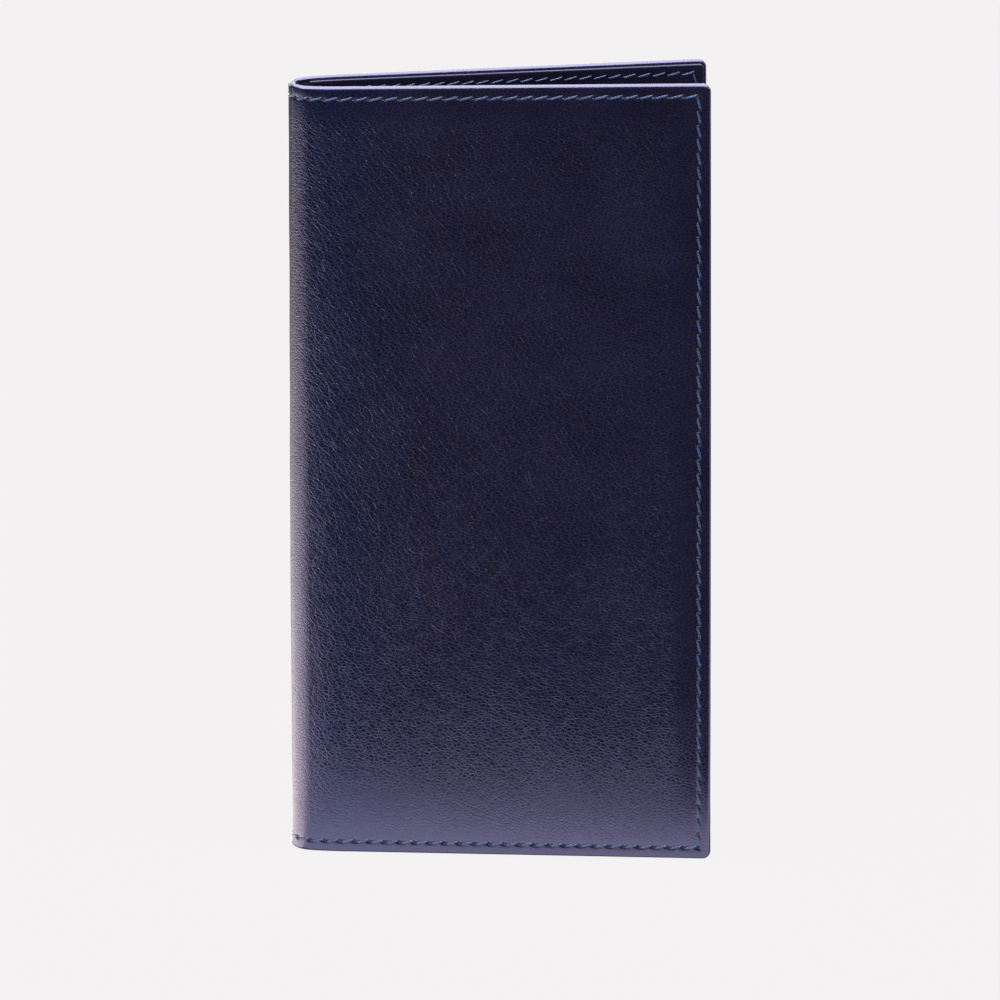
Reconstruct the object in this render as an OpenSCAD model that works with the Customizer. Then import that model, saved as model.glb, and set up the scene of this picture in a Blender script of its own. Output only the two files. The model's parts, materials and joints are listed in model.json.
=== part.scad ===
// Long wallet that opens like a book: two stiffened leather covers joined by a soft spine.
// The back cover carries eight card pockets and the front cover two full-length pockets.
// Each layer is laid out flat, as its leather is cut, and then folded at four lines in the spine.

/* [Covers] */
// Height of the wallet, along the spine
wallet_h = 185; // [160:1:200]
// Width of one cover, from its fold line to its free edge
cover_w = 92.5; // [91:0.5:105]
// Radius of the free corners
corner_r = 1.8; // [1.5:0.1:6]
// Width that the cover leather is turned in over the board
hem_w = 9; // [6:0.5:12]

/* [Spine] */
// Distance between neighbouring fold lines
strip_w = 3.5; // [3.5:0.1:5]
// Angle that the two covers stand open at rest
rest_opening = 5.6; // [3:0.1:20]

/* [Card pockets] */
// Number of card pockets
card_count = 8; // [2:1:8]
// Distance from one pocket's lip to the next
card_step = 14.5; // [13.5:0.5:14.5]
// Height of the lowest pocket's lip above the foot of the wallet
lowest_lip_z = 60; // [56:1:62]
// Depth from a pocket's lip to its base seam
pocket_depth = 50; // [44:1:52]

/* [Long pockets] */
// Distance from the fold line to the mouth of the note pocket
note_mouth_u = 6; // [4:0.5:12]
// Distance from the fold line to the mouth of the receipt pocket
receipt_mouth_u = 26; // [16:1:50]

/* [Stitching] */
// Distance from the top and bottom edges to the perimeter seam
seam_inset = 2.8; // [1.6:0.1:3]
// Distance from the free side edges to the perimeter seam
side_seam_inset = 2.7; // [2:0.1:3.5]
// Width of the sewing thread
thread_w = 0.5; // [0.3:0.1:0.6]

/* [Hidden] */
$fn = 48;

// Folding: four equal folds carry the front cover round to face the back cover.
fold_count = 4;
rest_fold = (180 - rest_opening) / fold_count;
closed_fold = 180 / fold_count;
mitre = tan(closed_fold / 2);
fold_gap = 0.05;

// Layers of a cover, as depths from its outer face inwards
skin_t = 0.7;
core_t = 0.4;
hem_t = 0.5;
lining_t = 0.2;
core_d = skin_t;
hem_d = core_d + core_t;
lining_d = hem_d + hem_t;
inner_d = lining_d + lining_t;

// Panels stitched on three sides over the lining, each standing clear of what it covers
pocket_gap = 0.15;
panel_t = 0.5;
receipt_t = 0.4;
panel_rim_w = 4;
panel_inset = 0.7;
panel_d = inner_d + pocket_gap;
receipt_d = panel_d + panel_t + 0.05;
card_panel_u = 2;
lining_inset = 1.2;
lining_u = 1;
board_u = 2;
board_inset = 0.8;
least_r = 0.3;

// Card pockets lie like roof tiles, so each one is tilted a little
tongue_t = 0.12;
facing_t = 0.32;
bottom_facing_t = 0.5;
tile_gap = 0.02;
facing_overlap = 4.5;
facing_h = card_step + facing_overlap;
facing_inset = 1;
tongue_inset = 2.7;
tile_rise = tongue_t + facing_t + tile_gap;
tile_slope = tile_rise / card_step;
tile_d = panel_d + panel_t + tile_gap;

// Sewing thread lies in a shallow groove outside and on the surface inside
groove_w = thread_w + 0.1;
groove_t = 0.25;
thread_sink = 0.03;
thread_t = 0.2;
spine_seam_u = card_panel_u + 1.2;
base_seam_rise = 1.5;
base_thread_t = 0.1;

// Fold lines at rest, from the back cover's, which is the start, to the front cover's
function heading(i) = rest_opening / 2 + i * rest_fold;
function fold_point(i) = i <= 1 ? [0, 0]
    : fold_point(i - 1) - strip_w * [cos(heading(i - 1)), sin(heading(i - 1))];
spine_x = min([for (i = [1:fold_count]) fold_point(i)[0]]);
free_edge_x = cover_w * cos(rest_opening / 2) + lining_d * sin(rest_opening / 2);
centre = [(free_edge_x + spine_x) / 2, fold_point(fold_count)[1] / 2, 0];

function lip_z(k) = lowest_lip_z + (card_count - k) * card_step;
// Depth of the back of card pocket k at height z
function tile_depth(k, z) = tile_d + tile_slope * max(0, z - lip_z(k) + pocket_depth);

// ---- Placing ----

// Carries a shape from the flat layout to its place, past the first i folds
module folded(i) {
    if (i == 0)
        translate(-centre) rotate(heading(0)) children();
    else
        folded(i - 1) translate([i == 1 ? 0 : -strip_w, 0, 0]) rotate(rest_fold) children();
}

module on_back() folded(0) children();
module on_front() folded(fold_count) mirror([1, 0, 0]) children();

// ---- Shapes in a half's own frame: X from the fold line out, depth along -Y ----

// Outline of a half from u0 out, inset at its two ends and at its free side
module half_outline(u0, inset, side_inset = undef) {
    w = cover_w - (is_undef(side_inset) ? inset : side_inset);
    radius = max(corner_r - inset, least_r);
    z0 = inset;
    z1 = wallet_h - inset;
    translate([u0, z0]) square([w - radius - u0, z1 - z0]);
    translate([w - radius - 0.01, z0 + radius]) square([radius + 0.01, z1 - z0 - 2 * radius]);
    translate([w - radius, z0 + radius]) circle(radius);
    translate([w - radius, z1 - radius]) circle(radius);
}

// Gives an outline in X and Z its thickness, from depth d0 to d1
module layer(d0, d1) translate([0, -d0, 0]) rotate([90, 0, 0]) linear_extrude(d1 - d0) children();

// Band that follows the perimeter seam on the three free sides
module seam_band(width, u0) {
    difference() {
        half_outline(u0, seam_inset - width / 2, side_seam_inset - width / 2);
        half_outline(u0 - 1, seam_inset + width / 2, side_seam_inset + width / 2);
    }
}

// Removes what would meet the spine when the wallet is closed
module mitre_cut() {
    deep = 4;
    translate([0, 0, -1]) linear_extrude(wallet_h + 2) polygon([
        [-2, 1], [fold_gap - mitre, 1], [fold_gap + deep * mitre, -deep], [-2, -deep]
    ]);
}

// A strip of sheet whose section in height and depth is given, from u0 to u1
module cross_sheet(u0, u1, section) {
    translate([u0, 0, 0]) rotate([90, 0, 90]) linear_extrude(u1 - u0)
        polygon([for (p = section) [-p[1], p[0]]]);
}

module turned_cover() {
    difference() {
        layer(0, lining_d) half_outline(0, 0);
        layer(core_d, hem_d) half_outline(-1, board_inset);
        layer(hem_d - 0.1, lining_d + 1) half_outline(-1, hem_w);
        layer(-1, groove_t) seam_band(groove_w, -1);
        mitre_cut();
    }
}

module board() layer(core_d, hem_d) half_outline(board_u, board_inset);

module lining() layer(lining_d, inner_d) half_outline(lining_u, lining_inset);

// Panel stitched down on three sides, with its mouth towards the spine
module pocket_panel(mouth_u, d0, thickness, gap) {
    difference() {
        layer(d0 - gap, d0 + thickness) half_outline(mouth_u, panel_inset);
        layer(d0 - gap - 1, d0) half_outline(mouth_u - 1, panel_inset + panel_rim_w);
    }
}

module outer_thread() {
    layer(thread_sink, thread_sink + thread_t) seam_band(thread_w, fold_gap + mitre * groove_t);
}

// ---- Card pockets ----

// Section of a tilted sheet over pocket k's plane, between two heights
function tile_section(k, z0, z1, rise, thickness) = [
    [z0, tile_depth(k, z0) + rise], [z1, tile_depth(k, z1) + rise],
    [z1, tile_depth(k, z1) + rise + thickness], [z0, tile_depth(k, z0) + rise + thickness]
];

module card_tongue(k) {
    color("midnightblue") on_back() cross_sheet(
        card_panel_u + tongue_inset, cover_w - tongue_inset,
        k < card_count
            ? tile_section(k, lip_z(k) - pocket_depth, lip_z(k), 0, tongue_t)
            : foot_section(0, tongue_t)
    );
}

module card_facing(k) {
    color("navy") on_back() cross_sheet(
        card_panel_u, cover_w - facing_inset,
        k < card_count
            ? tile_section(k, lip_z(k) - facing_h, lip_z(k), tongue_t, facing_t)
            : foot_section(tongue_t, bottom_facing_t)
    );
}

// The lowest pocket's pieces lie flat below a pocket's depth and run to the foot of the wallet
function foot_section(rise, thickness) =
    let (bend_z = lowest_lip_z - pocket_depth, heights = [panel_inset, bend_z, lowest_lip_z])
    [for (side = [0, 1], n = [0:2])
        let (z = heights[side == 0 ? n : 2 - n])
        [z, tile_depth(card_count, z) + rise + side * thickness]];

// Stitches down one side of the card panel, stepping over every lip
module stepped_thread(u) {
    for (k = [1:card_count]) {
        last = k == card_count;
        z0 = last ? seam_inset + thread_w : lip_z(k + 1) + 0.1;
        z1 = lip_z(k) - 0.3;
        rise = tongue_t + (last ? bottom_facing_t : facing_t);
        base_z = max(z0, lip_z(k) - pocket_depth);
        cross_sheet(u - thread_w / 2, u + thread_w / 2, tile_section(k, base_z, z1, rise, thread_t - 0.05));
        if (last)
            cross_sheet(u - thread_w / 2, u + thread_w / 2, tile_section(k, z0, base_z, rise, thread_t - 0.05));
    }
}

// The lowest pocket has no base seam of its own, because the perimeter seam closes it
module pocket_base_threads() {
    color("royalblue") on_back() for (k = [1:card_count - 1]) {
        z = lip_z(k) - pocket_depth + base_seam_rise;
        cross_sheet(card_panel_u + tongue_inset + 1, cover_w - tongue_inset - 1,
            tile_section(k, z, z + thread_w, tongue_t, base_thread_t));
    }
}

module card_panel_side_thread() {
    color("royalblue") on_back() {
        stepped_thread(spine_seam_u);
        layer(panel_d + panel_t, panel_d + panel_t + thread_t) translate([spine_seam_u - thread_w / 2, lip_z(1) + 0.3])
            square([thread_w, wallet_h - seam_inset - thread_w - lip_z(1) - 0.3]);
    }
}

// ---- Back cover ----

module back_cover_leather() color("navy") on_back() turned_cover();
module back_board() color("tan") on_back() board();
module back_lining() color("midnightblue") on_back() lining();

module card_backing_panel() {
    color("navy") on_back() pocket_panel(card_panel_u, panel_d, panel_t, pocket_gap);
}

module back_seam_thread() {
    u = cover_w - side_seam_inset;
    surface = panel_d + panel_t;
    color("royalblue") on_back() {
        outer_thread();
        layer(surface, surface + thread_t) difference() {
            seam_band(thread_w, card_panel_u);
            translate([-1, -1]) square([cover_w + 2, lip_z(1) + 1.3]);
        }
        stepped_thread(u);
        cross_sheet(card_panel_u, u + thread_w / 2, tile_section(
            card_count, seam_inset - thread_w / 2, seam_inset + thread_w / 2,
            tongue_t + bottom_facing_t, thread_t - 0.05
        ));
    }
}

// ---- Spine: three strips between the four fold lines ----

// A layer of strip i, narrower the deeper it lies
module strip_layer(i, z0, z1, d0, d1) {
    near = [fold_gap + d0 * mitre, fold_gap + d1 * mitre];
    folded(i) translate([0, 0, z0]) linear_extrude(z1 - z0) polygon([
        [-near[0], -d0], [-near[1], -d1], [near[1] - strip_w, -d1], [near[0] - strip_w, -d0]
    ]);
}

module at_both_ends(i, z0, z1, d0, d1) {
    strip_layer(i, z0, z1, d0, d1);
    strip_layer(i, wallet_h - z1, wallet_h - z0, d0, d1);
}

module spine_leather(i) {
    color("navy") difference() {
        union() {
            strip_layer(i, 0, wallet_h, 0, skin_t);
            at_both_ends(i, 0, board_inset, 0, lining_d);
            at_both_ends(i, 0, hem_w, hem_d, lining_d);
        }
        folded(i) for (z = [seam_inset, wallet_h - seam_inset])
            translate([-strip_w - 1, -groove_t, z - groove_w / 2]) cube([strip_w + 2, 1, groove_w]);
    }
}

module spine_tape(i) color("tan") strip_layer(i, board_inset, wallet_h - board_inset, core_d, hem_d);

module spine_lining(i) {
    color("midnightblue") strip_layer(i, lining_inset, wallet_h - lining_inset, lining_d, inner_d);
}

module spine_thread(i) {
    z0 = seam_inset - thread_w / 2;
    z1 = seam_inset + thread_w / 2;
    color("royalblue") {
        at_both_ends(i, z0, z1, thread_sink, thread_sink + thread_t);
        at_both_ends(i, z0, z1, inner_d, inner_d + thread_t);
    }
}

// ---- Front cover ----

module front_cover_leather() color("navy") on_front() turned_cover();
module front_board() color("tan") on_front() board();
module front_lining() color("midnightblue") on_front() lining();

module note_pocket_panel() {
    color("navy") on_front() pocket_panel(note_mouth_u, panel_d, panel_t, pocket_gap);
}

module receipt_pocket_panel() {
    color("navy") on_front() pocket_panel(receipt_mouth_u, receipt_d, receipt_t, receipt_d - panel_d - panel_t);
}

module front_seam_thread() {
    note_face = panel_d + panel_t;
    receipt_face = receipt_d + receipt_t;
    color("royalblue") on_front() {
        outer_thread();
        layer(receipt_face, receipt_face + base_thread_t) seam_band(thread_w, receipt_mouth_u);
        for (z = [seam_inset, wallet_h - seam_inset])
            layer(note_face, note_face + base_thread_t) translate([note_mouth_u, z - thread_w / 2])
                square([receipt_mouth_u - note_mouth_u - 0.1, thread_w]);
    }
}

back_cover_leather();
back_board();
back_lining();
card_backing_panel();
for (k = [1:card_count]) {
    card_tongue(k);
    card_facing(k);
}
pocket_base_threads();
card_panel_side_thread();
back_seam_thread();
for (i = [1:fold_count - 1]) {
    place = ["back", "middle", "front"][i - 1];
    spine_leather(i);
    spine_tape(i);
    spine_lining(i);
    spine_thread(i);
}
front_cover_leather();
front_board();
front_lining();
note_pocket_panel();
receipt_pocket_panel();
front_seam_thread();
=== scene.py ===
"""Looks of the long wallet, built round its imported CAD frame.

Each half of the wallet has its own flat frame, in millimetres: u runs from the fold line to the
free edge, z is the height, and d is the depth from the outer face inwards.
"""
import json
import math

import bmesh
import bpy
import numpy as np
from mathutils import Matrix, Vector


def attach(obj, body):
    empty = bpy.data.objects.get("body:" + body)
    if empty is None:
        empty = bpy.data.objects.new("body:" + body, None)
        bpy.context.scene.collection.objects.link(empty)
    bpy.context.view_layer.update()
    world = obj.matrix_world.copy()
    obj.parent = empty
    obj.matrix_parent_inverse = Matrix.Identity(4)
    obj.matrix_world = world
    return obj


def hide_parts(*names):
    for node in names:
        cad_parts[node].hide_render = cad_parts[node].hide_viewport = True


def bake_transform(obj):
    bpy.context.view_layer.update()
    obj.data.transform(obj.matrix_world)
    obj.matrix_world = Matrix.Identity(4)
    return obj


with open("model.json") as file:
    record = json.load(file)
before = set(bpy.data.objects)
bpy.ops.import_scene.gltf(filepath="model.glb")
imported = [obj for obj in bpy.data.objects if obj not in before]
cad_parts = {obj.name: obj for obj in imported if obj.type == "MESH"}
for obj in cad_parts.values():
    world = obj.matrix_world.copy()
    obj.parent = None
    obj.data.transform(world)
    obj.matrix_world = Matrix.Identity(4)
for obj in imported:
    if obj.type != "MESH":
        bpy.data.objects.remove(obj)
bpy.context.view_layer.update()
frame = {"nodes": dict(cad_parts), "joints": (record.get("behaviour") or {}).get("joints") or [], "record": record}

MM = 0.001

# ---- Frame: fold lines, half angle and layer depths, all from the CAD ----

JOINTS = {j["name"]: j for j in frame["joints"]}
MOUNTS = {m["name"]: m for m in frame["record"]["mounts"]}
COVER_FOLD = np.array(JOINTS["cover_opening"]["pos_m"][:2]) / MM
SPINE_FOLD = np.array(JOINTS["spine_fold_back"]["pos_m"][:2]) / MM
HALF_ANGLE = -math.asin(MOUNTS["back_face"]["axis"][0])


def half_axes(side):
    """Origin, outward direction and inward direction of the back (1) or front (-1) half."""
    c, s = math.cos(HALF_ANGLE), math.sin(HALF_ANGLE)
    origin = np.array([COVER_FOLD[0], side * COVER_FOLD[1]])
    return origin, np.array([c, side * s]), np.array([s, -side * c])


def span(node, side):
    """Lowest and highest u, z and d of a CAD node, in mm."""
    co = np.array([v.co for v in frame["nodes"][node].data.vertices]) / MM
    origin, out, inward = half_axes(side)
    flat = co[:, :2] - origin
    values = np.stack([flat @ out, co[:, 2], flat @ inward], axis=1)
    return values.min(0), values.max(0)


COVER = span("back_cover_leather", 1)[1]
COVER_W, HEIGHT, HEM_D = (float(x) for x in COVER)
LINING_D, INNER_D = (float(span("back_lining", 1)[i][2]) for i in (0, 1))
NOTE = span("note_pocket_panel", -1)
RECEIPT = span("receipt_pocket_panel", -1)
BACKING = span("card_backing_panel", 1)
BOARD = span("back_board", 1)
CARD_COUNT = sum(n.startswith("card_facing_") for n in frame["nodes"])
LIPS = [float(span(f"card_facing_{k}", 1)[1][1]) for k in range(1, CARD_COUNT + 1)]
TILE_D = float(span("card_tongue_1", 1)[0][2])
TONGUE_T, FACING_T, FOOT_FACING_T = 0.12, 0.32, 0.5
POCKET_DEPTH = 50
TILE_SLOPE = (float(span("card_tongue_1", 1)[1][2]) - TILE_D - TONGUE_T) / POCKET_DEPTH
FACING_H = LIPS[0] - float(span("card_facing_1", 1)[0][1])

# ---- Shape: how real leather differs from the flat CAD layout, in mm ----

CORNER_R, SPINE_CORNER_R = 1.8, 0.5
BOARD_R, LINING_R, PANEL_R, FACING_R = 1.2, 0.6, 1.1, 0.5
BORDER_U, BOARD_START_U = 1.75, 2.0
HEM_W, SLOT, SLOT_END = 9.0, (0.7, 1.1), 0.8
TAIL_END_U = 9.5
TAIL_SLOPE = math.radians(8)
TAIL_POWER = 2.4
TWIST = math.radians(2.2)
SEAM_INSET, SIDE_SEAM_INSET = 2.8, 2.7
ROW_STITCHES, SIDE_STITCHES = 26, 54
THREAD_R, THREAD_DEPTH = 0.25, 0.12
INNER_THREAD_R, INNER_RISE, INNER_SINK = 0.22, 0.08, 0.02
GUTTER_THREAD_R, GUTTER_LIFT = 0.2, 0.05
STITCH_ASLANT = 14
PLY_PITCH = 2.2
GROOVE, PUCKER_REACH = 0.24, 0.36
COVER_DENT_REACH, SPINE_DENT_REACH = 2.2 * PUCKER_REACH, 0.8
BOARD_INSET, TAPE_INSET, LINING_INSET = 1.0, 1.0, 1.2
PANEL_INSET, FACING_INSET = 0.7, 1.0
PANEL_U, SPINE_SEAM_U = 2.0, 3.2
PANEL_GAP, RECEIPT_GAP, FACING_GAP, BOARD_GAP = 0.05, 0.02, 0.01, 0.02
NOTE_SEAM_IN, RECEIPT_SEAM_IN = 0.8, 0.6
TONGUE_SIDES, TONGUE_FOOT, TONGUE_BELOW_LIP = (4.7, 2.7), 2.4, 0.3
BASE_SEAM_SIDES, BASE_SEAM_RISE, BASE_STITCHES = (5.7, 3.7), 1.5, 25
MOUTH_STITCHES, NOTE_ROW_STITCHES = 6, 19
TAPE_DEPTHS = (0.72, 1.08)
THIN_EDGE, PANEL_EDGE = 0.1, 0.42
GRID_STEP, HIDDEN_STEP, BOARD_STEP = 1.65, 5, 8
OUTER_FACE_D = 0.4
FAR_OFF = 9.0
TINY = 1e-6
SHARP, LIP_SHARP = 42, 60

TAIL_DROP = TAIL_SLOPE * (TAIL_END_U - BORDER_U) / TAIL_POWER


def tail(u):
    """Inward drop of a cover's face beside the spine, and its slope."""
    share = np.clip((TAIL_END_U - u) / (TAIL_END_U - BORDER_U), 0, None)
    return TAIL_DROP * share**TAIL_POWER, -TAIL_SLOPE * share ** (TAIL_POWER - 1)


def spine_ellipse():
    """Centre x, semi-axes and end angle of the spine's outer profile, tangent to both covers."""
    origin, out, inward = half_axes(1)
    end = origin + BORDER_U * out + TAIL_DROP * inward
    reach = end[0] - SPINE_FOLD[0]
    slope = math.tan(HALF_ANGLE + math.atan(TAIL_SLOPE))
    ratio = reach * slope / end[1]
    t = math.acos(ratio / (1 - ratio))
    a, b = reach / (1 - math.cos(t)), end[1] / math.sin(t)
    return SPINE_FOLD[0] + a, a, b, t


SPINE_X, SPINE_A, SPINE_B, SPINE_T = spine_ellipse()
SPINE_LEN = float(sum(
    math.hypot(SPINE_A * math.sin(t), SPINE_B * math.cos(t)) * SPINE_T / 200
    for t in (np.arange(200) + 0.5) / 200 * SPINE_T
))


def spine_length(t):
    """Length along the spine's outer profile from its middle to angle t."""
    steps = (np.arange(60) + 0.5) / 60
    t = np.asarray(t, float)
    each = np.hypot(SPINE_A * np.sin(t[..., None] * steps), SPINE_B * np.cos(t[..., None] * steps))
    return each.mean(-1) * t


def wave(s, z):
    """Gentle unevenness of the hand, in mm; s runs round the wallet from the spine's middle."""
    near_end = np.clip(np.minimum(z, HEIGHT - z) / 14, 0, 1)
    low = 0.075 * np.sin(0.071 * s + 0.043 * z + 0.6) + 0.05 * np.sin(0.13 * s - 0.061 * z + 2.1)
    small = 0.018 * np.sin(0.31 * s + 0.19 * z) + 0.014 * np.sin(0.23 * z - 0.37 * s + 1.3)
    return (low + small) * near_end


def lifted(xy, z):
    """Row-frame points in metres, with the wallet's gentle twist."""
    angle = TWIST * (z - HEIGHT / 2) / (HEIGHT / 2)
    x, y = xy[..., 0] - SPINE_FOLD[0], xy[..., 1]
    return MM * np.stack([
        SPINE_FOLD[0] + x * np.cos(angle) - y * np.sin(angle),
        x * np.sin(angle) + y * np.cos(angle),
        z,
    ], axis=-1)


def place(side, u, z, d):
    """Row-frame points of a half's (u, z, d)."""
    u, z, d = (np.asarray(x, float) for x in (u, z, d))
    origin, out, inward = half_axes(side)
    drop, slope = tail(u)
    angle = np.arctan(-slope)[..., None]
    normal = inward * np.cos(angle) + out * np.sin(angle)
    depth = d + wave(side * (u - BORDER_U + SPINE_LEN), z)
    return lifted(origin + u[..., None] * out + drop[..., None] * inward + depth[..., None] * normal, z)


def place_spine(t, z, d):
    """Row-frame points at profile angle t, which is positive on the back cover's side."""
    t, z, d = (np.asarray(x, float) for x in (t, z, d))
    outer = np.stack([SPINE_X - SPINE_A * np.cos(t), SPINE_B * np.sin(t)], axis=-1)
    normal = np.stack([np.cos(t) / SPINE_A, -np.sin(t) / SPINE_B], axis=-1)
    normal /= np.linalg.norm(normal, axis=-1, keepdims=True)
    return lifted(outer + (d + wave(spine_length(t), z))[..., None] * normal, z)


# ---- Mesh building ----


class Piece:
    """Points, faces and two sets of flat coordinates of one piece."""

    def __init__(self):
        self.points, self.faces, self.flat, self.seam = [], [], [], []
        self.count = 0

    def add(self, points, flat, seam=None):
        """Adds points, and returns their numbers in the same layout."""
        points, flat = np.asarray(points, float), np.asarray(flat, float)
        shape = points.shape[:-1]
        n = int(np.prod(shape))
        seam = np.broadcast_to(np.array([0.0, FAR_OFF]), shape + (2,)) if seam is None else seam
        self.points.append(points.reshape(-1, 3))
        self.flat.append(flat.reshape(-1, 2))
        self.seam.append(np.asarray(seam, float).reshape(-1, 2))
        ids = self.count + np.arange(n).reshape(shape)
        self.count += n
        return ids

    def quads(self, ids, wrap=True):
        """Faces over a grid of point numbers, whose rows may close on themselves."""
        grid = np.hstack([ids, ids[:, :1]]) if wrap else ids
        corners = np.stack([grid[:-1, :-1], grid[:-1, 1:], grid[1:, 1:], grid[1:, :-1]], axis=-1)
        for face in corners.reshape(-1, 4).tolist():
            self.face(face)

    def face(self, ids):
        """One face, less repeated neighbours."""
        kept = [int(a) for i, a in enumerate(ids) if a != ids[i - 1]]
        if len(kept) > 2:
            self.faces.append(kept)

    def build(self, name, material, sharp):
        """The finished object, with outward normals and sharp edges where it turns hard."""
        mesh = bpy.data.meshes.new(name)
        mesh.from_pydata(np.concatenate(self.points).tolist(), [], self.faces)
        at = np.zeros(len(mesh.loops), np.int32)
        mesh.loops.foreach_get("vertex_index", at)
        for label, values in (("flat", self.flat), ("seam", self.seam)):
            layer = mesh.uv_layers.new(name=label)
            layer.data.foreach_set("uv", np.concatenate(values)[at].astype(np.float32).ravel())
        form = bmesh.new()
        form.from_mesh(mesh)
        unused = [v for v in form.verts if not v.link_faces]
        bmesh.ops.delete(form, geom=unused, context="VERTS")
        bmesh.ops.recalc_face_normals(form, faces=form.faces)
        form.to_mesh(mesh)
        form.free()
        mesh.polygons.foreach_set("use_smooth", [True] * len(mesh.polygons))
        mesh.set_sharp_from_angle(angle=math.radians(sharp))
        mesh.materials.append(material)
        obj = bpy.data.objects.new(name, mesh)
        bpy.context.scene.collection.objects.link(obj)
        return obj


# ---- Slabs: leather and cloth layers of a half ----

FINE = 4
ARC = 6


def quarter(start, end, upright_first, count=6):
    """Points of a quarter ellipse between two (inset, depth) points, without the first."""
    made = []
    for i in range(1, count + 1):
        a = math.pi / 2 * i / count
        along, across = (1 - math.cos(a), math.sin(a)) if upright_first else (math.sin(a), 1 - math.cos(a))
        made.append((start[0] + (end[0] - start[0]) * along, start[1] + (end[1] - start[1]) * across))
    return made


def round_edge(d0, d1, reach):
    """An edge that turns from the outer face at d0 over to the inner face at d1."""
    mid = (0.0, d0 + (d1 - d0) / 2)
    return [(reach, d0)] + quarter((reach, d0), mid, False) + quarter(mid, (reach * 0.8, d1), True)


OUTER_LANES = [4.6, 4.0, 3.6, 3.3, 3.1, 2.95, 2.8, 2.65, 2.5, 2.3, 2.0, 1.5, 1.1]
SHEET_LANES = [4.6, 3.2, 2.4, 1.8, 1.2]


def turned_path():
    """Cover leather: outer face, rounded edge, turned-in hem and the pocket for the board."""
    path = [(x, 0.0) for x in OUTER_LANES] + round_edge(0.0, HEM_D, 0.75)
    path += [(2.5, HEM_D), (5.0, HEM_D), (HEM_W - 0.3, HEM_D), (HEM_W, HEM_D - 0.12)]
    near, far = SLOT
    path += [(HEM_W, far), (5.0, far), (SLOT_END + 0.2, far), (SLOT_END, far - 0.05)]
    return path + [(SLOT_END, near + 0.05), (SLOT_END + 0.2, near), (4.6, near)]


def sheet_path(d0, d1, reach):
    """Flat sheet with rounded edges, with the same lanes on both faces."""
    kept = [x for x in SHEET_LANES if x > reach + 0.05]
    return [(x, d0) for x in kept] + round_edge(d0, d1, reach) + [(x, d1) for x in kept[::-1]]


def pucker_depth(away, t, dent_reach):
    """Depth of the dent along a seam, away mm from it and t stitches along it."""
    pull = np.exp(-(away / PUCKER_REACH) ** 2) * (0.5 + 0.5 * np.cos(2 * math.pi * t)) ** 1.5
    return GROOVE * (pull + 0.35 * np.exp(-(away / dent_reach) ** 2))


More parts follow.
